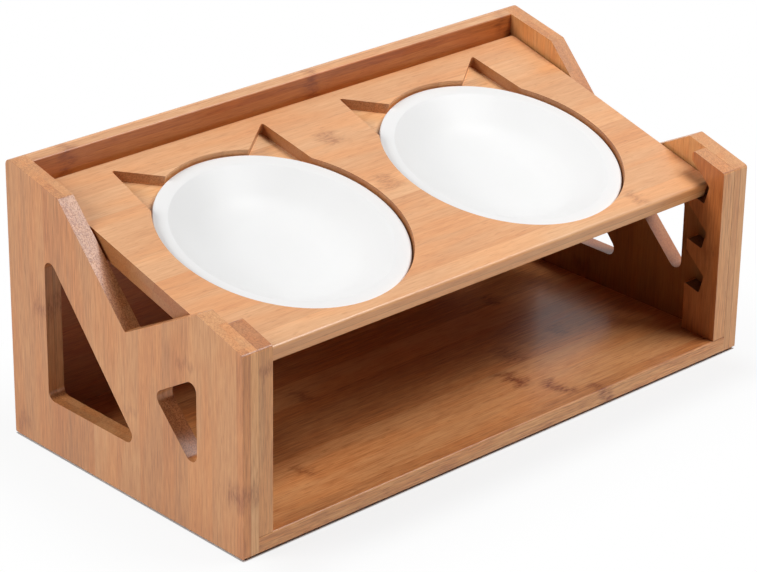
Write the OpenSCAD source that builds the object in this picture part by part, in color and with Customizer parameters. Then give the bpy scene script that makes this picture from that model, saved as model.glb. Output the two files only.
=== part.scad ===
// Raised feeder stand for a small pet, built from bamboo board.
// The tray carries two bowls.
// Its front edge hooks into one of three notches and its rear edge lies on rest blocks.
// Millimetres, +Z up, front towards -Y, origin on the floor under the middle of the stand.

/* [Stand] */
// Overall width across the side panels
stand_w = 400; // [370:1:440]
// Overall depth from the front edge to the back face
stand_d = 202; // [190:1:225]
// Height of the side panels along their back edge
rear_h = 171.5; // [160:0.5:190]
// Thickness of the side panels
side_t = 11; // [9:0.5:14]
// Thickness of the back panel
back_t = 11; // [9:0.5:14]
// Thickness of the base board
base_t = 10; // [9:0.5:14]

/* [Side panel outline] */
// Height of the front post along the front edge
front_h = 121; // [114:0.5:126]
// Depth of the front post at its top
post_d = 37; // [33:0.5:42]
// Rise of the front post's top from front to rear
post_rise = 11; // [8:0.5:16]
// Distance of the valley from the front edge
valley_d = 98; // [90:0.5:105]
// Height of the valley's lowest point
valley_h = 100; // [92:0.5:106]
// Length of the sloping top edge behind the valley
shoulder_l = 47; // [38:0.5:55]
// Fall of that top edge from the back to the shoulder
shoulder_fall = 11; // [4:0.5:14]
// Rounding of the shoulder
shoulder_r = 3; // [1:0.5:12]
// Rounding of the upper corner and edge at the back
rear_corner_r = 4; // [1:0.5:8]
// Rounding of the other upper corners
corner_r = 2; // [1:0.5:5]
// Rounding of the bottom corners and the valley
foot_corner_r = 1; // [0.5:0.5:2]

/* [Side windows] */
// Distance from the rear window's upright edge to the back face
rear_window_inset = 33; // [28:0.5:38]
// Length of the rear window along its sill
rear_window_l = 81; // [70:0.5:86]
// Height of the rear window along its upright edge
rear_window_h = 94.5; // [80:0.5:98]
// Height of the rear window's sill
rear_window_sill = 33; // [28:0.5:38]
// Distance from the front edge to the front window's upright edge
front_window_inset = 38; // [34:0.5:42]
// Depth of the front window
front_window_d = 36.5; // [30:0.5:40]
// Height of the front window along its upright edge
front_window_h = 58.5; // [50:0.5:62]
// Height of the front window's lower corner
front_window_sill = 35.5; // [30:0.5:40]
// Rise from the front window's lower corner to its rear corner
front_window_rise = 37; // [30:0.5:42]
// Rounding of the window corners
window_r = 5; // [2:0.5:7]

/* [Height strips] */
// Thickness of the notched strips
strip_t = 10; // [8:0.5:12]
// Depth of the notched strips
strip_d = 26; // [24:0.5:30]
// Height between one notch and the next
level_pitch = 29.5; // [28:0.5:31]
// Distance from the post's front height down to the tray's lower front edge in the top notch
notch_drop = 22.2; // [21:0.1:24]
// Room in a notch over the tray's thickness
notch_clear = 1; // [0.6:0.1:2]
// Room in a notch ahead of the tray's front edge
notch_end_gap = 4.8; // [4.4:0.1:6]
// Angle between a notch's upper wall and the tray
notch_flare = 27; // [26:0.5:30]
// Rounding at the inner end of a notch
notch_r = 1; // [0.4:0.1:1.5]

/* [Rear rests] */
// Width of a rest block from the side panel
rest_w = 9; // [6:0.5:10]
// Depth of a rest block from the back panel
rest_d = 9; // [6:0.5:10]
// Height of a rest block along its front face
rest_h = 12; // [8:0.5:16]

/* [Tray] */
// Thickness of the tray board
tray_t = 11; // [10:0.5:12]
// Tilt of the tray, front edge low
tray_tilt = 15.4; // [14:0.1:17]
// Distance from the front edge of the stand to the tray's lower front edge
tray_inset = 18.8; // [18:0.1:20]
// Gap between the tray's ends and the side panels
tray_side_gap = 2; // [1:0.1:3]
// Gap between the tray's rear edge and the back panel
tray_back_gap = 0.6; // [0.4:0.1:2]
// Gap under a seated piece
seat_gap = 0.3; // [0.2:0.05:0.5]
// Rounding of the tray's front and rear edges
tray_edge_r = 2; // [1:0.5:4]
// Rounding of the tray's corners, seen from above
tray_corner_r = 5; // [2:0.5:8]

/* [Bowl seats] */
// Distance of each bowl seat from the middle of the tray
seat_x = 87; // [86:0.5:90]
// Distance from the tray's front edge to the middle of the bowl seats
seat_u = 83; // [81:0.5:86]
// Radius of the well that takes the bowl's flange
well_r = 75.2; // [70:0.1:76]
// Depth of the well and its ears
well_depth = 7; // [5:0.5:7.5]
// Width of the ledge under the flange
ledge_w = 6; // [4:0.5:8]
// Reach of an ear's tip past the well
ear_reach = 28.5; // [20:0.5:29]
// Angle from the rear direction to an ear's inner root
ear_inner_angle = 24.5; // [22:0.5:28]
// Angle from the rear direction to an ear's tip
ear_tip_angle = 33; // [30:0.2:37]
// Angle from the rear direction to an ear's outer root
ear_outer_angle = 53; // [48:0.5:56]

/* [Bowls] */
// Gap between a bowl and its seat
bowl_gap = 1; // [0.4:0.1:2.2]
// Thickness of the flange
flange_t = 3.6; // [2:0.1:4.5]
// Wall thickness of the bowls
bowl_wall = 3; // [2:0.1:4]
// Thickness of the bowl's floor
bowl_floor_t = 3.5; // [2.5:0.1:5]
// Depth of a bowl below its ledge
bowl_depth = 18; // [14:0.5:36]
// Radius of the foot ring
foot_r = 43; // [38:0.5:48]
// Width of the foot ring
foot_w = 5; // [3:0.5:7]
// Height of the foot ring
foot_h = 1.5; // [0.8:0.1:2.5]
// Rounding where the wall turns into the floor
bowl_turn_r = 40; // [10:0.5:50]

/* [Dowels and pads] */
// Diameter of the dowels
dowel_d = 6; // [5:0.5:7]
// Length of a dowel in the end of a board
dowel_board_l = 16; // [12:0.5:20]
// Wood left over the end of a dowel in a board's face
dowel_skin = 4; // [3:0.5:5]
// Distance of the outer dowels from a board's corner
dowel_inset = 30; // [24:0.5:34]
// Distance of the strip dowels from the front edge
strip_dowel_inset = 7; // [6:0.5:8]
// Glue gap round a dowel
glue_gap = 0.1; // [0.05:0.01:0.15]
// Free length at each end of a dowel
dowel_end_gap = 0.4; // [0.2:0.1:0.6]
// Chamfer at the ends of a dowel
dowel_chamfer = 0.8; // [0.4:0.1:1.2]
// Diameter of the foot pads
pad_d = 18; // [14:0.5:20]
// Thickness of the foot pads
pad_t = 1.2; // [0.8:0.1:2]
// Distance of the pads from the stand's outer faces
pad_inset = 25; // [24:0.5:30]

/* [Hidden] */
$fn = 96;
corner_steps = 6;
ear_tip_r = 1.2;
ear_root = 8;
lip_r = 0.9;
pad_chamfer = 0.4;
panel_color = "#c58f63";
board_color = "#cd9a6b";
tray_color = "#dcab7b";
strip_color = "#c9935f";
dowel_color = "#e0c193";
bowl_color = "#f6f6f4";
pad_color = "#3b3734";

// Faces of the stand
front_y = -stand_d / 2;
back_y = stand_d / 2;
back_in_y = back_y - back_t;
side_in_x = stand_w / 2 - side_t;
floor_z = pad_t;
base_top_z = floor_z + base_t;

// The tray's lower front edge in the top notch, which is also the line it pivots on
tray_y = front_y + tray_inset;
tray_z = floor_z + front_h - notch_drop;
tray_w = 2 * (side_in_x - tray_side_gap);
rear_edge_fall = tray_edge_r * (cos(tray_tilt) + sin(tray_tilt) - 1);
tray_l = (back_in_y - tray_back_gap + rear_edge_fall - tray_y) / cos(tray_tilt);
notch_h = tray_t + notch_clear;
ledge_h = tray_t - well_depth;
seat_hole_r = well_r - ledge_w;

function unit(v) = v / norm(v);

// Points of the arc that rounds corner b between its neighbours a and c
function corner_arc(a, b, c, r) =
    r == 0 ? [b] :
    let (u = unit(a - b))
    let (v = unit(c - b))
    let (half = acos(u * v) / 2)
    let (middle = b + unit(u + v) * r / sin(half))
    let (from = unit(b + u * r / tan(half) - middle))
    let (to = unit(b + v * r / tan(half) - middle))
    let (turn = 180 - 2 * half)
    [for (i = [0:corner_steps])
        let (t = turn * i / corner_steps)
        middle + r * (sin(turn - t) * from + sin(t) * to) / sin(turn)];

// An outline with each corner rounded by its own radius
function rounded(points, radii) =
    let (n = len(points))
    [for (i = [0:n - 1])
        each corner_arc(points[(i + n - 1) % n], points[i], points[(i + 1) % n], radii[i])];

// A point at u along the tray's underside and w above it, with the tray a number of notches down
function tray_point(u, w, level) = [
    tray_y + u * cos(tray_tilt) - w * sin(tray_tilt),
    tray_z - level * level_pitch + u * sin(tray_tilt) + w * cos(tray_tilt)
];

// Height just under the tray at depth y
function under_tray_z(y, level) =
    tray_z - level * level_pitch + (y - tray_y) * tan(tray_tilt) - seat_gap / cos(tray_tilt);

// Height of the front post's sloping top at depth y
function post_top_z(y) = floor_z + front_h + (y - front_y) * post_rise / post_d;

// Extrudes an outline of depth and height along X
module along_x(width) {
    rotate([90, 0, 90])
        linear_extrude(width)
            children();
}

// Places the tray's own axes: X across, Y up the slope, Z out of the top face
module on_tray() {
    translate([0, tray_y, tray_z])
        rotate([tray_tilt, 0, 0])
            children();
}

module right_side() {
    mirror([1, 0, 0])
        children();
}

// Dowel places as depth and height for the joints on the left panel
base_dowel_places = [
    for (y = [front_y + dowel_inset, (front_y + back_in_y) / 2, back_in_y - dowel_inset])
        [y, floor_z + base_t / 2]
];
back_dowel_places = [
    for (z = [floor_z + dowel_inset, floor_z + rear_h - shoulder_fall - dowel_inset])
        [back_y - back_t / 2, z]
];
strip_dowel_places = [
    for (z = [base_top_z + strip_dowel_inset + dowel_d, tray_z - (level_pitch - notch_h) / 2])
        [front_y + strip_dowel_inset, z]
];
rear_dowel_x = [dowel_inset - side_in_x, 0, side_in_x - dowel_inset];
side_dowel_l = side_t - dowel_skin;
strip_dowel_l = strip_t - dowel_skin;
rear_dowel_l = back_t - dowel_skin;

module dowel(length) {
    rotate_extrude()
        polygon([
            [0, 0],
            [dowel_d / 2 - dowel_chamfer, 0],
            [dowel_d / 2, dowel_chamfer],
            [dowel_d / 2, length - dowel_chamfer],
            [dowel_d / 2 - dowel_chamfer, length],
            [0, length]
        ]);
}

module dowel_bore(length) {
    translate([0, 0, -dowel_end_gap])
        cylinder(d = dowel_d + 2 * glue_gap, h = length + 2 * dowel_end_gap);
}

// Puts its children at the outer end of each dowel between the left panel and a board
module at_left_dowels(places) {
    for (place = places)
        translate([-side_in_x - side_dowel_l, place[0], place[1]])
            rotate([0, 90, 0])
                children();
}

// Puts its children at the front end of each dowel between the base board and the back panel
module at_rear_dowels() {
    for (x = rear_dowel_x)
        translate([x, back_in_y - dowel_board_l, floor_z + base_t / 2])
            rotate([-90, 0, 0])
                children();
}

module left_base_bores() {
    at_left_dowels(base_dowel_places)
        dowel_bore(side_dowel_l + dowel_board_l);
}

module left_back_bores() {
    at_left_dowels(back_dowel_places)
        dowel_bore(side_dowel_l + dowel_board_l);
}

module left_strip_bores() {
    at_left_dowels(strip_dowel_places)
        dowel_bore(side_dowel_l + strip_dowel_l);
}

module rear_base_bores() {
    at_rear_dowels()
        dowel_bore(dowel_board_l + rear_dowel_l);
}

// Side panels
module panel_outline() {
    corners = [
        [front_y, floor_z],
        [back_y, floor_z],
        [back_y, floor_z + rear_h],
        [back_y - shoulder_l, floor_z + rear_h - shoulder_fall],
        [front_y + valley_d, floor_z + valley_h],
        [front_y + post_d, post_top_z(front_y + post_d)],
        [front_y, floor_z + front_h]
    ];
    radii = [foot_corner_r, foot_corner_r, rear_corner_r, shoulder_r, foot_corner_r, corner_r, corner_r];
    polygon(rounded(corners, radii));
}

module rear_window() {
    upright_y = back_y - rear_window_inset;
    sill_z = floor_z + rear_window_sill;
    corners = [
        [upright_y, sill_z],
        [upright_y, sill_z + rear_window_h],
        [upright_y - rear_window_l, sill_z]
    ];
    polygon(rounded(corners, [window_r, window_r, window_r]));
}

module front_window() {
    upright_y = front_y + front_window_inset;
    low_z = floor_z + front_window_sill;
    corners = [
        [upright_y, low_z],
        [upright_y + front_window_d, low_z + front_window_rise],
        [upright_y, low_z + front_window_h]
    ];
    polygon(rounded(corners, [window_r, window_r, window_r]));
}

module side_panel() {
    color(panel_color)
        difference() {
            translate([-stand_w / 2, 0, 0])
                along_x(side_t)
                    difference() {
                        panel_outline();
                        rear_window();
                        front_window();
                    }
            left_base_bores();
            left_back_bores();
            left_strip_bores();
        }
}

module left_side_panel() {
    side_panel();
}

module right_side_panel() {
    right_side()
        side_panel();
}

// Back panel, whose top edge follows the slope of the side panels
module back_panel() {
    top_z = floor_z + rear_h;
    corners = [
        [back_in_y, floor_z],
        [back_y, floor_z],
        [back_y, top_z],
        [back_in_y, top_z - back_t * shoulder_fall / shoulder_l]
    ];
    color(board_color)
        difference() {
            translate([-side_in_x, 0, 0])
                along_x(2 * side_in_x)
                    polygon(rounded(corners, [0, 0, rear_corner_r, foot_corner_r]));
            left_back_bores();
            right_side()
                left_back_bores();
            rear_base_bores();
        }
}

module base_board() {
    corners = [
        [front_y, floor_z],
        [back_in_y, floor_z],
        [back_in_y, base_top_z],
        [front_y, base_top_z]
    ];
    color(board_color)
        difference() {
            translate([-side_in_x, 0, 0])
                along_x(2 * side_in_x)
                    polygon(rounded(corners, [foot_corner_r, 0, 0, foot_corner_r]));
            left_base_bores();
            right_side()
                left_base_bores();
            rear_base_bores();
        }
}

// Height strips
module notch(level) {
    reach = strip_d;
    corners = [
        tray_point(-notch_end_gap, -seat_gap, level),
        tray_point(reach, -seat_gap, level),
        tray_point(reach, notch_h - seat_gap + (reach + notch_end_gap) * tan(notch_flare), level),
        tray_point(-notch_end_gap, notch_h - seat_gap, level)
    ];
    polygon(rounded(corners, [notch_r, 0, 0, notch_r]));
}

module height_strip() {
    strip_back_y = front_y + strip_d;
    corners = [
        [front_y, base_top_z],
        [strip_back_y, base_top_z],
        [strip_back_y, post_top_z(strip_back_y)],
        [front_y, floor_z + front_h]
    ];
    color(strip_color)
        difference() {
            translate([-side_in_x, 0, 0])
                along_x(strip_t)
                    difference() {
                        polygon(rounded(corners, [0, 0, corner_r, corner_r]));
                        for (level = [0:2])
                            notch(level);
                    }
            left_strip_bores();
        }
}

module left_height_strip() {
    height_strip();
}

module right_height_strip() {
    right_side()
        height_strip();
}

// Rest blocks in the rear corners, sloped like the tray
module rest_block(level) {
    rest_front_y = back_in_y - rest_d;
    bottom_z = under_tray_z(rest_front_y, level) - rest_h;
    color(strip_color)
        translate([-side_in_x, 0, 0])
            along_x(rest_w)
                polygon([
                    [rest_front_y, bottom_z],
                    [back_in_y, bottom_z],
                    [back_in_y, under_tray_z(back_in_y, level)],
                    [rest_front_y, under_tray_z(rest_front_y, level)]
                ]);
}

// Tray board
module ear_outline() {
    inner = well_r * [sin(ear_inner_angle), cos(ear_inner_angle)];
    tip = (well_r + ear_reach) * [sin(ear_tip_angle), cos(ear_tip_angle)];
    outer = well_r * [sin(ear_outer_angle), cos(ear_outer_angle)];
    root = (well_r - ear_root) * unit(inner + outer);
    polygon(rounded([inner, tip, outer, root], [0, ear_tip_r, 0, 0]));
}

module bowl_seat() {
    translate([0, 0, -tray_t])
        cylinder(r = seat_hole_r, h = 3 * tray_t);
    translate([0, 0, ledge_h]) {
        cylinder(r = well_r, h = tray_t);
        linear_extrude(tray_t)
            ear_outline();
        mirror([1, 0, 0])
            linear_extrude(tray_t)
                ear_outline();
    }
}

module tray_board() {
    corners = [
        [0, 0],
        [tray_l, 0],
        [tray_l, tray_t],
        [0, tray_t]
    ];
    plan = [
        [-tray_w / 2, 0],
        [tray_w / 2, 0],
        [tray_w / 2, tray_l],
        [-tray_w / 2, tray_l]
    ];
    color(tray_color)
        on_tray()
            difference() {
                intersection() {
                    translate([-tray_w / 2, 0, 0])
                        along_x(tray_w)
                            polygon(rounded(corners, tray_edge_r * [1, 1, 1, 1]));
                    linear_extrude(tray_t)
                        polygon(rounded(plan, tray_corner_r * [1, 1, 1, 1]));
                }
                for (x = [-seat_x, seat_x])
                    translate([x, seat_u, 0])
                        bowl_seat();
            }
}

// Bowl turned about the axis of its seat
module bowl(x) {
    ledge_z = ledge_h + seat_gap;
    flange_z = ledge_z + flange_t;
    bottom_z = ledge_z - bowl_depth;
    rim_r = seat_hole_r - bowl_gap;
    bowl_floor_z = bottom_z + foot_h + bowl_floor_t;
    corners = [
        [0, bottom_z + foot_h],
        [foot_r - foot_w, bottom_z + foot_h],
        [foot_r - foot_w, bottom_z],
        [foot_r, bottom_z],
        [rim_r, ledge_z],
        [well_r - bowl_gap, ledge_z],
        [well_r - bowl_gap, flange_z],
        [rim_r - bowl_wall, flange_z],
        [foot_r - bowl_wall, bowl_floor_z],
        [0, bowl_floor_z]
    ];
    radii = [0, 0, 0, lip_r, 0, lip_r, lip_r, lip_r, bowl_turn_r, 0];
    color(bowl_color)
        on_tray()
            translate([x, seat_u, 0])
                rotate_extrude()
                    polygon(rounded(corners, radii));
}

// Groups of dowels
module left_base_dowels() {
    color(dowel_color)
        at_left_dowels(base_dowel_places)
            dowel(side_dowel_l + dowel_board_l);
}

module left_back_dowels() {
    color(dowel_color)
        at_left_dowels(back_dowel_places)
            dowel(side_dowel_l + dowel_board_l);
}

module left_strip_dowels() {
    color(dowel_color)
        at_left_dowels(strip_dowel_places)
            dowel(side_dowel_l + strip_dowel_l);
}

module rear_base_dowels() {
    color(dowel_color)
        at_rear_dowels()
            dowel(dowel_board_l + rear_dowel_l);
}

// Foot pad under a corner of the base board
module pad(side, end) {
    color(pad_color)
        translate([side * (stand_w / 2 - pad_inset), end * (stand_d / 2 - pad_inset), 0])
            rotate_extrude()
                polygon([
                    [0, 0],
                    [pad_d / 2 - pad_chamfer, 0],
                    [pad_d / 2, pad_chamfer],
                    [pad_d / 2, pad_t],
                    [0, pad_t]
                ]);
}

left_side_panel();
right_side_panel();
back_panel();
base_board();
left_height_strip();
right_height_strip();
rest_block(0);  // left_top_rest
rest_block(1);  // left_middle_rest
rest_block(2);  // left_bottom_rest
right_side() rest_block(0);  // right_top_rest
right_side() rest_block(1);  // right_middle_rest
right_side() rest_block(2);  // right_bottom_rest
tray_board();
bowl(-seat_x);  // left_bowl
bowl(seat_x);  // right_bowl
left_base_dowels();
right_side() left_base_dowels();  // right_base_dowels
left_back_dowels();
right_side() left_back_dowels();  // right_back_dowels
left_strip_dowels();
right_side() left_strip_dowels();  // right_strip_dowels
rear_base_dowels();
pad(-1, -1);  // front_left_pad
pad(1, -1);  // front_right_pad
pad(-1, 1);  // rear_left_pad
pad(1, 1);  // rear_right_pad
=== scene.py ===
# Raised feeder stand: bamboo boards, a leaning tray and two white bowls.
import math

import bmesh
import bpy
from mathutils import Matrix, Vector


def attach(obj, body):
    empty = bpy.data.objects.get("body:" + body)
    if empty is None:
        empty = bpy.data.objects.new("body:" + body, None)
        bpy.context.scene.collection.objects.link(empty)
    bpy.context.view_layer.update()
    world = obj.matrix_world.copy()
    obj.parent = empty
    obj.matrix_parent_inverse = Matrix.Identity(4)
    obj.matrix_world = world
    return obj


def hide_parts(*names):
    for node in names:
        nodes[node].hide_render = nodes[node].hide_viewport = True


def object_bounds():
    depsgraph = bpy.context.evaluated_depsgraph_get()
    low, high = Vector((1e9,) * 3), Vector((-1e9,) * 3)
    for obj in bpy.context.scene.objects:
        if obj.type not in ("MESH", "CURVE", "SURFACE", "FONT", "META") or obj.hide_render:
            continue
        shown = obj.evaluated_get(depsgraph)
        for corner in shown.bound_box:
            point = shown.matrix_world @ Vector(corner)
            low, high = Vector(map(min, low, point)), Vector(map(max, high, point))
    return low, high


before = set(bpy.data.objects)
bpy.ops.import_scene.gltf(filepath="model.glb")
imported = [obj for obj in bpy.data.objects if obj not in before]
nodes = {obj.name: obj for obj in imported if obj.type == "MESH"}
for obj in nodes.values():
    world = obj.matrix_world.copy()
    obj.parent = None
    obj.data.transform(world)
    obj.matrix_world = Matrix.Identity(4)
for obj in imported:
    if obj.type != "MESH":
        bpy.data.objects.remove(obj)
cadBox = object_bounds()
cadLow, cadHigh = cadBox
print("frame loaded:", len(nodes), "nodes")

# Camera where the photograph was taken from
photoCamera = {
    "place": (-1.1003, -1.1548, 0.7942),
    "forward": (0.6253, 0.6613, -0.4145),
    "right": (0.7309, -0.6823, 0.0141),  # a little roll
    "lens": 141.32,
    "sensor": 36.0,
    "near": 0.05,
    "far": 30.0,
}


def addCamera(setup):
    data = bpy.data.cameras.new("photoCamera")
    data.sensor_fit = "HORIZONTAL"
    data.sensor_width = setup["sensor"]
    data.lens = setup["lens"]
    data.clip_start = setup["near"]
    data.clip_end = setup["far"]
    forward = Vector(setup["forward"]).normalized()
    right = Vector(setup["right"])
    right = (right - forward * right.dot(forward)).normalized()
    turn = Matrix((right, right.cross(forward), -forward)).transposed()
    camera = bpy.data.objects.new("photoCamera", data)
    camera.matrix_world = Matrix.Translation(setup["place"]) @ turn.to_4x4()
    bpy.context.scene.collection.objects.link(camera)
    bpy.context.scene.camera = camera


addCamera(photoCamera)
print("camera set")


# Small helpers for shader trees
def addNode(tree, kind, **settings):
    node = tree.nodes.new(kind)
    for key, value in settings.items():
        setattr(node, key, value)
    return node


def feed(tree, socket, value):  # links an output or sets a plain value
    if isinstance(value, bpy.types.NodeSocket):
        tree.links.new(value, socket)
    else:
        socket.default_value = value


def calc(tree, operation, first, second=0.0, third=0.0):
    node = addNode(tree, "ShaderNodeMath", operation=operation)
    for socket, value in zip(node.inputs, (first, second, third)):
        feed(tree, socket, value)
    return node.outputs[0]


def remap(tree, value, low, high, toLow=0.0, toHigh=1.0):  # smooth step, held at both ends
    node = addNode(tree, "ShaderNodeMapRange", interpolation_type="SMOOTHSTEP")
    for socket, number in zip(node.inputs, (value, low, high, toLow, toHigh)):
        feed(tree, socket, number)
    return node.outputs[0]


def mixColour(tree, amount, first, second, mode="MIX"):
    node = addNode(tree, "ShaderNodeMix", data_type="RGBA", blend_type=mode)
    for index, value in ((0, amount), (6, first), (7, second)):  # the node's sockets for colours
        feed(tree, node.inputs[index], value)
    return node.outputs[2]


def noiseAt(tree, place, noise):  # each axis has its own scale
    vector = addNode(tree, "ShaderNodeCombineXYZ")
    for target, socket, scale in zip(vector.inputs, place, noise["scale"]):
        feed(tree, target, calc(tree, "MULTIPLY", socket, scale))
    node = addNode(tree, "ShaderNodeTexNoise")
    feed(tree, node.inputs["Vector"], vector.outputs[0])
    feed(tree, node.inputs["Scale"], 1.0)
    feed(tree, node.inputs["Detail"], noise["detail"])
    feed(tree, node.inputs["Roughness"], noise["roughness"])
    return node.outputs[0]


def newFinish(name):
    finish = bpy.data.materials.new(name)
    finish.use_nodes = True
    tree = finish.node_tree
    return finish, tree, tree.nodes["Principled BSDF"]


def objectPlace(tree):  # x, y and z of a point on the piece
    coords = addNode(tree, "ShaderNodeTexCoord")
    place = addNode(tree, "ShaderNodeSeparateXYZ")
    feed(tree, place.inputs[0], coords.outputs["Object"])
    return tuple(place.outputs)


def addCoat(shader, look):
    shader.inputs["Coat Weight"].default_value = look["coat"]
    shader.inputs["Coat Roughness"].default_value = look["coatRoughness"]


def addBump(tree, shader, height, look):
    bump = addNode(tree, "ShaderNodeBump")
    bump.inputs["Strength"].default_value = look["bumpStrength"]
    bump.inputs["Distance"].default_value = look["bumpDepth"]
    feed(tree, bump.inputs["Height"], height)
    feed(tree, shader.inputs["Normal"], bump.outputs[0])


def newPiece(name, shape, finish):  # a finished bmesh becomes an object of the scene
    data = bpy.data.meshes.new(name)
    shape.to_mesh(data)
    shape.free()
    data.materials.append(finish)
    piece = bpy.data.objects.new(name, data)
    bpy.context.scene.collection.objects.link(piece)
    return piece


# Lacquered bamboo, shared by all boards
bamboo = {
    "dark": (0.441, 0.169, 0.059, 1),
    "middle": (0.636, 0.282, 0.107, 1),
    "light": (0.764, 0.395, 0.172, 1),
    "rampStops": (0.18, 0.50, 0.82),
    "warmTint": (1.05, 0.95, 0.84, 1),
    "fleckTint": (0.72, 0.60, 0.50, 1),
    "markTint": (0.54, 0.40, 0.32, 1),
    "glueTint": (0.66, 0.55, 0.48, 1),
    "seamTint": (0.88, 0.83, 0.79, 1),
    "endTint": (1.05, 1.07, 1.10, 1),
    "slantTint": (0.84, 0.79, 0.78, 1),
    "poreTint": (0.62, 0.52, 0.48, 1),
    "stripWidth": 0.0205,
    "stripShift": 3.0,  # how far apart two strips may be cut from the cane
    "seedSpread": 100,  # sets the picks of two boards apart
    # noise, with its scale across the strips, through the board and along the grain
    "fibre": {"scale": (1000, 1000, 62), "detail": 2.0, "roughness": 0.60},
    "streak": {"scale": (400, 400, 15), "detail": 3.0, "roughness": 0.55},
    "drift": {"scale": (30, 30, 11), "detail": 1.0, "roughness": 0.50},
    "warm": {"scale": (55, 55, 9), "detail": 2.0, "roughness": 0.50},
    "fleck": {"scale": (1250, 1250, 110), "detail": 1.0, "roughness": 0.50},
    "speckle": {"scale": (780, 780, 230), "detail": 2.0, "roughness": 0.60},
    "wobble": {"scale": (190, 190, 40), "detail": 2.0, "roughness": 0.60},
    "pore": {"scale": (1250, 1250, 1250), "detail": 1.0, "roughness": 0.50},
    # where a noise, or the turn of a surface, begins to count and counts in full
    "warmBand": (0.40, 0.65),
    "fleckBand": (0.60, 0.74),
    "speckleBand": (0.40, 0.62),
    "poreBand": (0.46, 0.62),
    "cutBand": (0.30, 0.70),
    "slantBand": (0.80, 0.95),
    "edgeBand": (0.45, 0.75),
    "speckleLow": 0.45,
    "markCore": 0.55,
    "markWobble": 0.024,
    "seamShare": 0.55,
    "seamHalf": 0.00020,
    "glueHalf": 0.00018,
    "endPore": 0.2,
    "slantPore": 0.6,
    "streakRough": 0.16,
    "poreRough": 0.22,
    "fleckRelief": -0.6,
    "poreRelief": -0.8,
    "coat": 0.30,
    "coatRoughness": 0.20,
    "bumpDepth": 0.00025,
    "bumpStrength": 0.20,
}


def boardAxes(tree, socket, board, corner=(0, 0, 0)):  # depth, across and along parts of a vector
    turn = addNode(tree, "ShaderNodeMapping", vector_type="TEXTURE")
    feed(tree, turn.inputs["Location"], corner)
    feed(tree, turn.inputs["Rotation"], (board.get("lean", 0.0), 0.0, 0.0))
    feed(tree, turn.inputs["Vector"], socket)
    parts = addNode(tree, "ShaderNodeSeparateXYZ")
    feed(tree, parts.inputs[0], turn.outputs[0])
    return [parts.outputs["xyz".index(axis)] for axis in board["axes"]]


def grainSpace(tree, board):  # where a point lies in its board, and which way its surface faces
    coords = addNode(tree, "ShaderNodeTexCoord")
    depth, across, along = boardAxes(tree, coords.outputs["Object"], board, board["corner"])
    onFace, _, onEnd = boardAxes(tree, coords.outputs["Normal"], board)
    depth, onFace, onEnd = (calc(tree, "ABSOLUTE", value) for value in (depth, onFace, onEnd))
    cut = remap(tree, onEnd, *board["cutBand"])
    oblique = remap(tree, onEnd, *board["slantBand"], 1.0, 0.0)
    notEdge = calc(tree, "MAXIMUM", onFace, cut)
    return {
        "across": across,  # over the strips
        "depth": depth,  # from the outer face
        "along": along,  # with the grain
        "onFace": onFace,
        "cut": cut,  # sawn across the grain
        "slant": calc(tree, "MULTIPLY", cut, oblique),
        "onEdge": remap(tree, notEdge, *board["edgeBand"], 1.0, 0.0),
    }


def stripGrain(tree, spot, look):  # each glued strip and ply has its own tone and stretch of grain
    stripPlace = calc(tree, "ADD", spot["across"], look["seed"])
    stripPlace = calc(tree, "DIVIDE", stripPlace, look["stripWidth"])
    key = addNode(tree, "ShaderNodeCombineXYZ")
    feed(tree, key.inputs[0], calc(tree, "FLOOR", stripPlace))
    feed(tree, key.inputs[1], calc(tree, "FLOOR", calc(tree, "DIVIDE", spot["depth"], look["ply"])))
    feed(tree, key.inputs[2], look["seed"] * look["seedSpread"])
    pick = addNode(tree, "ShaderNodeTexWhiteNoise", noise_dimensions="3D")
    feed(tree, pick.inputs["Vector"], key.outputs[0])
    ownTone = pick.outputs["Value"]
    shifted = calc(tree, "ADD", spot["along"], calc(tree, "MULTIPLY", ownTone, look["stripShift"]))
    place = (spot["across"], spot["depth"], shifted)
    grain = {kind: noiseAt(tree, place, look[kind]) for kind in ("fibre", "streak", "drift")}
    for kind in ("warm", "fleck"):
        grain[kind] = remap(tree, noiseAt(tree, place, look[kind]), *look[kind + "Band"])
    fromMiddle = calc(tree, "SUBTRACT", calc(tree, "FRACT", stripPlace), 0.5)
    seamStart = 0.5 - look["seamHalf"] / look["stripWidth"]
    grain["seam"] = calc(tree, "GREATER_THAN", calc(tree, "ABSOLUTE", fromMiddle), seamStart)
    grain["strip"] = ownTone
    return grain


def grainColour(tree, grain, look):  # a ramp of browns, then warm drifts, dark fibres and seams
    tone = look["tone"]
    for kind in ("fibre", "streak", "drift", "strip"):
        offset = calc(tree, "SUBTRACT", grain[kind], 0.5)  # noise lies about a half
        tone = calc(tree, "MULTIPLY_ADD", offset, look[kind + "Share"], tone)
    ramp = addNode(tree, "ShaderNodeValToRGB")
    low, half, high = look["rampStops"]
    stops = ramp.color_ramp.elements
    stops[0].position = low
    stops[0].color = look["dark"]
    stops[1].position = high
    stops[1].color = look["light"]
    stops.new(half).color = look["middle"]
    feed(tree, ramp.inputs[0], tone)
    colour = mixColour(tree, grain["warm"], ramp.outputs[0], look["warmTint"], "MULTIPLY")
    for kind in ("fleck", "seam"):
        amount = calc(tree, "MULTIPLY", grain[kind], look[kind + "Share"])
        colour = mixColour(tree, amount, colour, look[kind + "Tint"], "MULTIPLY")
    return colour


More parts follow.
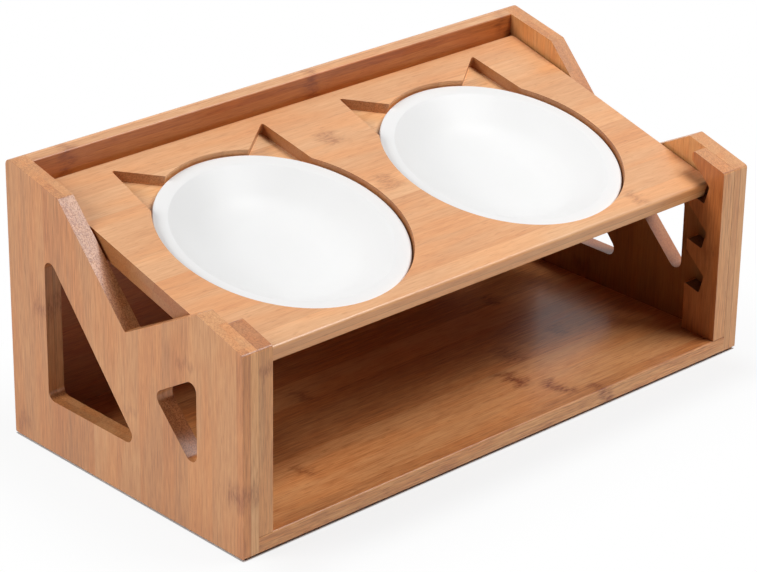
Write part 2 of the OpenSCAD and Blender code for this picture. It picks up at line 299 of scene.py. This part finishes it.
def caneJoints(tree, spot, look):  # dark speckled joints of the cane, with wavy ends
    place = (spot["across"], spot["depth"], spot["along"])
    speckle = noiseAt(tree, place, look["speckle"])
    speckle = remap(tree, speckle, *look["speckleBand"], look["speckleLow"], 1.0)
    wobble = calc(tree, "SUBTRACT", noiseAt(tree, place, look["wobble"]), 0.5)
    along = calc(tree, "MULTIPLY_ADD", wobble, look["markWobble"], spot["along"])
    joints = 0.0
    for mark in look["marks"]:
        sideways = calc(tree, "ABSOLUTE", calc(tree, "SUBTRACT", spot["across"], mark["across"]))
        lengthwise = calc(tree, "ABSOLUTE", calc(tree, "SUBTRACT", along, mark["along"]))
        sideways = remap(tree, sideways, mark["half"] * look["markCore"], mark["half"], 1.0, 0.0)
        lengthwise = remap(tree, lengthwise, 0.0, mark["length"], 1.0, 0.0)
        joint = calc(tree, "MULTIPLY", sideways, lengthwise)
        joint = calc(tree, "MULTIPLY", calc(tree, "MULTIPLY", joint, speckle), mark["strength"])
        joints = calc(tree, "MAXIMUM", joints, joint)
    return joints


def paintedWallShade(tree, spot, look):  # painted shade on the walls of the windows and notches, darker where light does not reach them
    front, rear, top = look["wallShadeSpan"]
    wall = remap(tree, spot["onFace"], *look["edgeBand"], 1.0, 0.0)
    for operation, way, limit in (
        ("GREATER_THAN", "across", front),
        ("LESS_THAN", "across", rear),
        ("LESS_THAN", "along", top),
    ):
        wall = calc(tree, "MULTIPLY", wall, calc(tree, operation, spot[way], limit))
    return wall


def boardTint(tree, spot, look):  # faces, ply edges and cuts across the grain each have their own
    inside = calc(tree, "GREATER_THAN", spot["depth"], look["ply"])
    behind = calc(tree, "GREATER_THAN", spot["depth"], look.get("behindFrom", look["ply"]))
    innerFace = look["innerFace"]
    if "paintedShadeFace" in look:  # painted shade: the inner face is darker under the tray, where the tray shades it
        aboveTray = remap(tree, spot["along"], *look["paintedShadeSpan"])
        innerFace = mixColour(tree, aboveTray, look["paintedShadeFace"], innerFace)
    # routed floors get their own tint, partly paler wood and partly painted light
    faceTint = mixColour(tree, inside, look["outerFace"], look.get("routedPaleAndLitFace", innerFace))
    faceTint = mixColour(tree, behind, faceTint, innerFace)
    plyTint = mixColour(tree, inside, look["outerPly"], look["innerPly"])
    endTint = mixColour(tree, spot["slant"], look["endTint"], look["slantTint"])
    tint = mixColour(tree, spot["onEdge"], faceTint, plyTint)
    tint = mixColour(tree, spot["cut"], tint, endTint)
    # painted shade on the window and notch walls
    if "wallShadeTint" in look:
        tint = mixColour(tree, paintedWallShade(tree, spot, look), tint, look["wallShadeTint"])
    return tint


def glueLine(tree, spot, look):  # between the two plies
    toGlue = calc(tree, "ABSOLUTE", calc(tree, "SUBTRACT", spot["depth"], look["ply"]))
    line = remap(tree, toGlue, look["glueHalf"], look["glueHalf"] * 2, 1.0, 0.0)
    line = calc(tree, "MULTIPLY", line, spot["onEdge"])
    return calc(tree, "MULTIPLY", line, look["glueShare"])


def openPores(tree, spot, look):  # on the cuts, most of all on slanting ones
    place = (spot["across"], spot["depth"], spot["along"])
    pore = remap(tree, noiseAt(tree, place, look["pore"]), *look["poreBand"])
    share = calc(tree, "MULTIPLY_ADD", spot["slant"], look["slantPore"], look["endPore"])
    return calc(tree, "MULTIPLY", pore, calc(tree, "MULTIPLY", spot["cut"], share))


def satinLacquer(tree, shader, grain, pores, look):  # over fine fibre relief
    rough = calc(tree, "MULTIPLY_ADD", grain["streak"], look["streakRough"], look["roughness"])
    rough = calc(tree, "MULTIPLY_ADD", pores, look["poreRough"], rough)
    feed(tree, shader.inputs["Roughness"], rough)
    addCoat(shader, look)
    relief = calc(tree, "MULTIPLY_ADD", grain["fleck"], look["fleckRelief"], grain["fibre"])
    relief = calc(tree, "MULTIPLY_ADD", pores, look["poreRelief"], relief)
    addBump(tree, shader, relief, look)


def bambooFinish(name, board):
    look = dict(bamboo, **board)
    finish, tree, shader = newFinish(name)
    spot = grainSpace(tree, look)
    grain = stripGrain(tree, spot, look)
    pores = openPores(tree, spot, look)
    colour = grainColour(tree, grain, look)
    for amount, tint in (
        (caneJoints(tree, spot, look), look["markTint"]),
        (1.0, boardTint(tree, spot, look)),
        (glueLine(tree, spot, look), look["glueTint"]),
        (pores, look["poreTint"]),
    ):
        colour = mixColour(tree, amount, colour, tint, "MULTIPLY")
    feed(tree, shader.inputs["Base Color"], colour)
    satinLacquer(tree, shader, grain, pores, look)
    return finish


def markAt(across, along, half, length, strength):  # millimetres on the board
    return {
        "across": across / 1000,
        "along": along / 1000,
        "half": half / 1000,
        "length": length / 1000,
        "strength": strength,
    }


plainBoard = {  # what every board starts from
    "mergeWithin": 1e-6,
    "flatTurn": 0.4,  # degrees: flatter edges are dissolved
    "sharpTurn": 40,  # sharper edges are eased
    "shadeTurn": 38,  # sharper edges stay crisp
    "ease": 0.00095,
    "easeSteps": 3,
    "tone": 0.5,
    "fibreShare": 0.85,  # how strongly each kind of grain shows
    "streakShare": 0.46,
    "driftShare": 0.42,
    "stripShare": 0.22,
    "fleckShare": 0.50,
    "glueShare": 0.45,
    "roughness": 0.34,
    "outerFace": (1.0, 1.0, 1.0, 1),
    # inner faces darker: partly the boards' own inner tone, partly painted shade of the stand's
    # inside
    "innerFace": (0.76, 0.60, 0.46, 1),
}


# Boards keep the solid's own shape, with their edges eased
def boardFrom(nodeName, pieceName, look, finish):
    shape = bmesh.new()
    shape.from_mesh(nodes[nodeName].data)
    bmesh.ops.remove_doubles(shape, verts=shape.verts[:], dist=look["mergeWithin"])
    bmesh.ops.dissolve_limit(
        shape,
        angle_limit=math.radians(look["flatTurn"]),
        verts=shape.verts[:],
        edges=shape.edges[:],
    )
    sharpTurn = math.radians(look["sharpTurn"])
    sharp = [
        edge
        for edge in shape.edges
        if edge.is_manifold and edge.is_convex and edge.calc_face_angle() > sharpTurn
    ]
    bmesh.ops.bevel(
        shape,
        geom=sharp,
        offset=look["ease"],
        offset_type="OFFSET",
        segments=look["easeSteps"],
        profile=0.5,
        affect="EDGES",
        clamp_overlap=True,
        material=-1,
    )
    for face in shape.faces:
        face.smooth = True
    piece = newPiece(pieceName, shape, finish)
    piece.data.set_sharp_from_angle(angle=math.radians(look["shadeTurn"]))
    evenShade = piece.modifiers.new("evenShade", "WEIGHTED_NORMAL")
    evenShade.keep_sharp = True
    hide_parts(nodeName)
    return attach(piece, look["body"])


leftPanel = dict(
    plainBoard,
    slot="panel_bamboo",
    body="stand",
    corner=(cadLow.x, 0.0, 0.0),
    axes="xyz",
    ply=0.0055,
    outerPly=(1.16, 1.16, 1.16, 1),
    innerPly=(1.24, 1.38, 1.50, 1),
    seed=0.137,
    marks=[
        markAt(73, 90, 9, 13, 0.75),
        markAt(-53, 100, 10, 6, 0.6),
        markAt(-95, 38, 9, 12, 0.85),
        markAt(-6, 55, 7, 6, 0.45),
        markAt(92, 12, 9, 8, 0.5),
    ],
)
boardFrom("left_side_panel", "leftPanel", leftPanel, bambooFinish("leftPanelBamboo", leftPanel))

rightPanel = dict(
    leftPanel,
    corner=(cadHigh.x, 0.0, 0.0),
    seed=0.761,
    # inner face painted lighter above the tray as painted light, and painted shade below it where
    # the tray shades it
    innerFace=(1.14, 1.18, 1.08, 1),
    paintedShadeFace=(0.58, 0.48, 0.32, 1),
    paintedShadeSpan=(0.085, 0.110),
    slantTint=(0.96, 0.90, 0.80, 1),
    slantPore=0.1,
    # painted shade on the lower window walls
    wallShadeTint=(0.66, 0.50, 0.38, 1),
    wallShadeSpan=(-0.095, 0.095, 0.098),
    fibreShare=0.65,
    streakShare=0.38,
    glueShare=0.9,
    outerPly=(1.20, 1.29, 1.35, 1),
    innerPly=(1.14, 1.18, 1.18, 1),
    marks=[
        markAt(-70, 62, 10, 9, 0.8),
        markAt(20, 20, 10, 9, 0.8),
        markAt(82, 110, 9, 10, 0.8),
        markAt(-40, 100, 9, 8, 0.7),
    ],
)
boardFrom("right_side_panel", "rightPanel", rightPanel, bambooFinish("rightPanelBamboo", rightPanel))

backPanel = dict(
    leftPanel,
    slot="board_bamboo",
    corner=(0.0, cadHigh.y, 0.0),
    axes="yzx",
    seed=0.389,
    # darker inner face: partly its own tone, partly painted shade of the stand's inside
    innerFace=(0.76, 0.50, 0.28, 1),
    outerPly=(1.18, 1.32, 1.60, 1),
    innerPly=(1.10, 1.20, 1.40, 1),
    marks=[
        markAt(164, -165, 12, 9, 0.85),
        markAt(164, 19, 12, 7, 0.85),
        markAt(162, 181, 12, 8, 0.8),
        markAt(120, -40, 10, 8, 0.8),
        markAt(80, 120, 10, 8, 0.8),
        markAt(40, -110, 10, 8, 0.8),
        markAt(60, 30, 10, 8, 0.8),
    ],
)
boardFrom("back_panel", "backPanel", backPanel, bambooFinish("backPanelBamboo", backPanel))

baseBoard = dict(
    leftPanel,
    slot="board_bamboo",
    corner=(0.0, 0.0, 0.0112),
    axes="zyx",
    ply=0.005,
    stripWidth=0.0237,
    seed=0.9209,
    # whole base darker: partly its own tone, partly painted shade under the tray
    outerFace=(0.92, 0.84, 0.76, 1),
    innerFace=(0.92, 0.84, 0.76, 1),
    outerPly=(1.21, 1.27, 1.23, 1),
    innerPly=(1.18, 1.22, 1.19, 1),
    ease=0.0005,
    glueShare=0.15,
    markTint=(0.38, 0.20, 0.11, 1),
    fibreShare=1.25,
    streakShare=0.80,
    fleckShare=0.80,
    stripShare=0.34,
    marks=[
        markAt(32, 119, 10, 11, 1.0),
        markAt(-56, 50, 15, 9, 1.0),
        markAt(-81, 62, 15, 9, 1.0),
        markAt(-31, 72, 14, 10, 0.8),
        markAt(-97, 81, 8, 8, 0.9),
        markAt(-27, 120, 10, 10, 0.8),
        markAt(-60, -120, 10, 8, 0.7),
        markAt(10, -60, 10, 8, 0.7),
    ],
)
boardFrom("base_board", "baseBoard", baseBoard, bambooFinish("baseBoardBamboo", baseBoard))

heightStrip = dict(
    leftPanel,
    slot="strip_bamboo",
    ease=0.0008,
    corner=(0.0, 0.0, 0.0),
    ply=0.2,  # one solid ply
    innerFace=(1.0, 1.0, 1.0, 1),
    endTint=(0.88, 0.82, 0.78, 1),
    outerPly=(1.22, 1.36, 1.46, 1),
    innerPly=(1.22, 1.36, 1.46, 1),
    # painted shade on the notch walls
    wallShadeTint=(0.38, 0.36, 0.36, 1),
    wallShadeSpan=(-0.095, -0.0762, 0.1195),
    seed=0.271,
    marks=[markAt(-96, 108, 12, 7, 0.85), markAt(-90, 60, 12, 7, 0.6)],
)
stripBamboo = bambooFinish("heightStripBamboo", heightStrip)
boardFrom("left_height_strip", "leftHeightStrip", heightStrip, stripBamboo)

rightStrip = dict(
    heightStrip,
    # lit and shaded copy of the strip: its inward face is painted shade, its sawn tops are painted
    # light
    outerFace=(0.85, 0.64, 0.46, 1),
    endTint=(1.08, 1.10, 1.12, 1),
    seed=0.835,
    marks=[markAt(-92, 70, 9, 7, 0.5)],
)
rightStripBamboo = bambooFinish("rightStripBamboo", rightStrip)
boardFrom("right_height_strip", "rightHeightStrip", rightStrip, rightStripBamboo)

restBlock = dict(heightStrip, ease=0.0006, seed=0.517, marks=[])
restBamboo = bambooFinish("restBlockBamboo", restBlock)
for side in ("left", "right"):
    for level in ("top", "middle", "bottom"):
        boardFrom(f"{side}_{level}_rest", f"{side}{level.title()}Rest", restBlock, restBamboo)

tray = dict(
    leftPanel,
    slot="tray_bamboo",
    body="tray",
    ease=0.0006,
    lean=math.radians(15.4),
    pivot=(0.0, -0.0822, 0.1000),  # lower front edge
    thickness=0.011,
    axes="zyx",
    seed=0.643,
    tone=0.62,
    outerFace=(1.14, 1.24, 1.445, 1),
    innerFace=(0.80, 0.66, 0.52, 1),
    # pocket floors lighter: partly the paler routed wood, partly painted light where the pocket
    # walls shade them
    routedPaleAndLitFace=(1.26, 1.52, 1.90, 1),
    # darker sawn ends and side-facing well walls: partly the end grain's own tone, partly painted
    # shade
    endTint=(0.62, 0.52, 0.43, 1),
    behindFrom=0.0104,
    fibreShare=0.50,
    streakShare=0.36,
    driftShare=0.36,
    outerPly=(1.18, 1.16, 1.12, 1),
    innerPly=(1.26, 1.30, 1.30, 1),
    marks=[
        markAt(140, -3, 9, 12, 0.75),
        markAt(90, -1, 10, 12, 0.75),
        markAt(9, 129, 9, 8, 0.7),
    ],
)
toTop = Matrix.Rotation(tray["lean"], 3, "X") @ Vector((0, 0, tray["thickness"]))
tray["corner"] = Vector(tray["pivot"]) + toTop
boardFrom("tray_board", "trayBoard", tray, bambooFinish("trayBamboo", tray))
print("boards eased and grained")

# Bowls turned about the axis of their seats
bowl = {
    "pivot": Vector(tray["pivot"]),
    "lean": tray["lean"],
    "seatX": 0.087,
    "seatUp": 0.083,
    "ledge": 0.0043,
    "flangeRadius": 0.0742,
    "flangeThick": 0.0036,
    "throatRadius": 0.0682,
    "wall": 0.003,
    "depth": 0.018,
    "footRadius": 0.043,
    "footWidth": 0.005,
    "footHeight": 0.0015,
    "floorThick": 0.0035,
    "lipRound": 0.0009,
    "footRound": 0.0004,
    "throatRound": 0.0005,
    "rimRound": 0.0016,
    "turnRound": 0.040,
    "roundSteps": 8,
    "spinSteps": 144,
    "mergeWithin": 1e-6,
    "white": (0.925, 0.925, 0.922, 1),
    "shade": (0.912, 0.912, 0.908, 1),
    "roughness": 0.42,
    "specular": 0.30,
    "coat": 0.05,
    "coatRoughness": 0.22,
    "cloud": {"scale": (18, 18, 18), "detail": 3.0, "roughness": 0.50},
    "cloudBand": (0.35, 0.65),
    "cloudRough": 0.08,
    "ripple": {"scale": (420, 420, 420), "detail": 2.0, "roughness": 0.50},
    "bumpDepth": 0.0002,
    "bumpStrength": 0.03,
}


def glazeFinish(name, look):
    finish, tree, shader = newFinish(name)
    place = objectPlace(tree)
    cloud = noiseAt(tree, place, look["cloud"])
    shaded = remap(tree, cloud, *look["cloudBand"])
    feed(tree, shader.inputs["Base Color"], mixColour(tree, shaded, look["white"], look["shade"]))
    rough = calc(tree, "MULTIPLY_ADD", cloud, look["cloudRough"], look["roughness"])
    feed(tree, shader.inputs["Roughness"], rough)
    shader.inputs["Specular IOR Level"].default_value = look["specular"]
    addCoat(shader, look)
    addBump(tree, shader, noiseAt(tree, place, look["ripple"]), look)
    return finish


def turnBowl(pieceName, nodeName, seatX, look, finish):
    bottom = look["ledge"] - look["depth"]
    flange = look["ledge"] + look["flangeThick"]
    inside = bottom + look["footHeight"] + look["floorThick"]
    footInside = look["footRadius"] - look["footWidth"]
    # radius, height and rounding, from the middle of the underside to the middle of the inside
    corners = [
        (0.0, bottom + look["footHeight"], 0.0),
        (footInside, bottom + look["footHeight"], look["footRound"]),
        (footInside, bottom, look["footRound"]),
        (look["footRadius"], bottom, look["lipRound"]),
        (look["throatRadius"], look["ledge"], look["throatRound"]),
        (look["flangeRadius"], look["ledge"], look["lipRound"]),
        (look["flangeRadius"], flange, look["lipRound"]),
        (look["throatRadius"] - look["wall"], flange, look["rimRound"]),
        (look["footRadius"] - look["wall"], inside, look["turnRound"]),
        (0.0, inside, 0.0),
    ]
    shape = bmesh.new()
    points = [shape.verts.new((radius, 0.0, height)) for radius, height, _ in corners]
    for first, second in zip(points, points[1:]):
        shape.edges.new((first, second))
    for point, (_, _, rounding) in zip(points, corners):
        if rounding > 0:
            legs = [(edge.other_vert(point).co - point.co).normalized() for edge in point.link_edges]
            halfTurn = legs[0].angle(legs[1]) / 2
            bmesh.ops.bevel(
                shape,
                geom=[point],
                offset=rounding / math.tan(halfTurn),
                offset_type="OFFSET",
                segments=look["roundSteps"],
                profile=0.5,
                affect="VERTICES",
                clamp_overlap=False,
                material=-1,
            )
    bmesh.ops.spin(
        shape,
        geom=shape.verts[:] + shape.edges[:],
        cent=(0, 0, 0),
        axis=(0, 0, 1),
        angle=math.tau,
        steps=look["spinSteps"],
        use_merge=True,
    )
    bmesh.ops.remove_doubles(shape, verts=shape.verts[:], dist=look["mergeWithin"])
    bmesh.ops.recalc_face_normals(shape, faces=shape.faces[:])
    for face in shape.faces:
        face.smooth = True
    onTray = Matrix.Translation(look["pivot"]) @ Matrix.Rotation(look["lean"], 4, "X")
    onSeat = onTray @ Matrix.Translation((seatX, look["seatUp"], 0))
    bmesh.ops.transform(shape, matrix=onSeat, verts=shape.verts[:])
    piece = newPiece(pieceName, shape, finish)
    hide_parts(nodeName)
    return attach(piece, nodeName)


bowlGlaze = glazeFinish("bowlGlaze", bowl)
turnBowl("leftBowl", "left_bowl", -bowl["seatX"], bowl, bowlGlaze)
turnBowl("rightBowl", "right_bowl", bowl["seatX"], bowl, bowlGlaze)
print("bowls turned")

# Dowels and foot pads keep their solids
dowelWood = {
    "pale": (0.60, 0.40, 0.22, 1),
    "deep": (0.46, 0.28, 0.14, 1),
    "grain": {"scale": (600, 900, 900), "detail": 3.0, "roughness": 0.60},
    "grainBand": (0.30, 0.70),
    "grainRough": 0.15,
    "roughness": 0.55,
    "bumpDepth": 0.0002,
    "bumpStrength": 0.25,
}
padRubber = dict(
    dowelWood,
    pale=(0.060, 0.056, 0.052, 1),
    deep=(0.032, 0.030, 0.028, 1),
    grain={"scale": (900, 900, 900), "detail": 3.0, "roughness": 0.60},
    roughness=0.72,
)


def speckledFinish(name, look):
    finish, tree, shader = newFinish(name)
    grain = noiseAt(tree, objectPlace(tree), look["grain"])
    pale = remap(tree, grain, *look["grainBand"])
    feed(tree, shader.inputs["Base Color"], mixColour(tree, pale, look["deep"], look["pale"]))
    rough = calc(tree, "MULTIPLY_ADD", grain, look["grainRough"], look["roughness"])
    feed(tree, shader.inputs["Roughness"], rough)
    addBump(tree, shader, grain, look)
    return finish


dowelFinish = speckledFinish("dowelWood", dowelWood)
padFinish = speckledFinish("padRubber", padRubber)
for nodeName, node in nodes.items():
    for ending, finish in (("dowels", dowelFinish), ("pad", padFinish)):
        if nodeName.endswith(ending):
            node.data.materials.clear()
            node.data.materials.append(finish)
print("dowels and pads finished")

# Pale floor that stays white for the camera and keeps the shadow
floor = {
    "size": 14.0,
    "squares": 8,
    "white": (0.72, 0.72, 0.72, 1),
    "roughness": 0.9,
    "seenWhite": 1.0,
    "base": {"middle": (0.0, 0.0, 0.0), "half": (cadHigh.x, cadHigh.y, 0.0)},
    "front": {"middle": (0.0, -0.016, 0.0), "half": (0.175, cadHigh.y, 0.0)},
    "nearShare": 0.92,  # how much of the white shows beside the boards
    "fadeWidth": 0.10,
    "frontShare": 0.84,
    "frontWidth": 0.033,
}


def whiteForEye(tree, shader, share, strength):  # camera, mirror and glass rays see a white ground
    path = addNode(tree, "ShaderNodeLightPath")
    direct = calc(tree, "LESS_THAN", path.outputs["Diffuse Depth"], 0.5)  # no diffuse bounce before
    mirrored = calc(tree, "MULTIPLY", path.outputs["Is Glossy Ray"], direct)
    seen = calc(tree, "MAXIMUM", path.outputs["Is Camera Ray"], mirrored)
    seen = calc(tree, "MAXIMUM", seen, path.outputs["Is Transmission Ray"])
    inWorld = shader.bl_idname == "ShaderNodeBackground"
    glow = addNode(tree, "ShaderNodeBackground" if inWorld else "ShaderNodeEmission")
    glow.inputs["Color"].default_value = (1, 1, 1, 1)
    glow.inputs["Strength"].default_value = strength
    blend = addNode(tree, "ShaderNodeMixShader")
    feed(tree, blend.inputs[0], calc(tree, "MULTIPLY", seen, share))
    feed(tree, blend.inputs[1], shader.outputs[0])
    feed(tree, blend.inputs[2], glow.outputs[0])
    return blend


def wayFrom(tree, place, box):  # how far a point of the floor lies outside a box
    vector = place
    for operation, other in (
        ("SUBTRACT", box["middle"]),
        ("ABSOLUTE", None),
        ("SUBTRACT", box["half"]),
        ("MAXIMUM", (0, 0, 0)),
    ):
        step = addNode(tree, "ShaderNodeVectorMath", operation=operation)
        feed(tree, step.inputs[0], vector)
        if other:
            feed(tree, step.inputs[1], other)
        vector = step.outputs[0]
    length = addNode(tree, "ShaderNodeVectorMath", operation="LENGTH")
    feed(tree, length.inputs[0], vector)
    return length.outputs["Value"]


def layFloor(look):
    shape = bmesh.new()
    bmesh.ops.create_grid(
        shape, x_segments=look["squares"], y_segments=look["squares"], size=look["size"] / 2
    )
    finish, tree, shader = newFinish("studioFloorWhite")
    shader.inputs["Base Color"].default_value = look["white"]
    shader.inputs["Roughness"].default_value = look["roughness"]
    shader.inputs["Specular IOR Level"].default_value = 0.0
    place = addNode(tree, "ShaderNodeTexCoord").outputs["Object"]
    fromBase = wayFrom(tree, place, look["base"])
    fromFront = wayFrom(tree, place, look["front"])
    share = remap(tree, fromBase, 0.0, look["fadeWidth"], look["nearShare"], 1.0)
    inFront = remap(tree, fromFront, 0.0, look["frontWidth"], look["frontShare"], 1.0)
    outside = calc(tree, "GREATER_THAN", fromBase, 0.0)  # dark under the boards
    share = calc(tree, "MULTIPLY", calc(tree, "MULTIPLY", share, inFront), outside)
    blend = whiteForEye(tree, shader, share, look["seenWhite"])
    feed(tree, tree.nodes["Material Output"].inputs["Surface"], blend.outputs[0])
    newPiece("studioFloor", shape, finish)


layFloor(floor)

# Soft studio light: a main box high at the right front and one at the left rear
studio = {
    "worldLight": 0.0,
    "seenWhite": 1.0,
    "aim": (0, 0, 0.1),
    "lamps": {
        "mainBox": {"place": (0.74, -0.69, 1.55), "size": 0.85, "power": 25.3},
        "leftBox": {"place": (-1.65, 0.48, 1.20), "size": 0.90, "power": 25.3},
    },
}


def lightStudio(look):
    world = bpy.data.worlds.new("studioWorld")
    world.use_nodes = True
    tree = world.node_tree
    ground = tree.nodes["Background"]
    ground.inputs["Color"].default_value = (1, 1, 1, 1)
    ground.inputs["Strength"].default_value = look["worldLight"]
    blend = whiteForEye(tree, ground, 1.0, look["seenWhite"])
    feed(tree, tree.nodes["World Output"].inputs["Surface"], blend.outputs[0])
    bpy.context.scene.world = world
    for name, lamp in look["lamps"].items():
        data = bpy.data.lights.new(name, "AREA")
        data.shape = "RECTANGLE"
        data.size = data.size_y = lamp["size"]
        data.energy = lamp["power"]
        box = bpy.data.objects.new(name, data)
        away = Vector(look["aim"]) - Vector(lamp["place"])
        turn = away.to_track_quat("-Z", "Y").to_matrix().to_4x4()
        box.matrix_world = Matrix.Translation(lamp["place"]) @ turn
        bpy.context.scene.collection.objects.link(box)


lightStudio(studio)
bpy.context.scene.view_settings.view_transform = "Standard"
print("floor and lamps set")
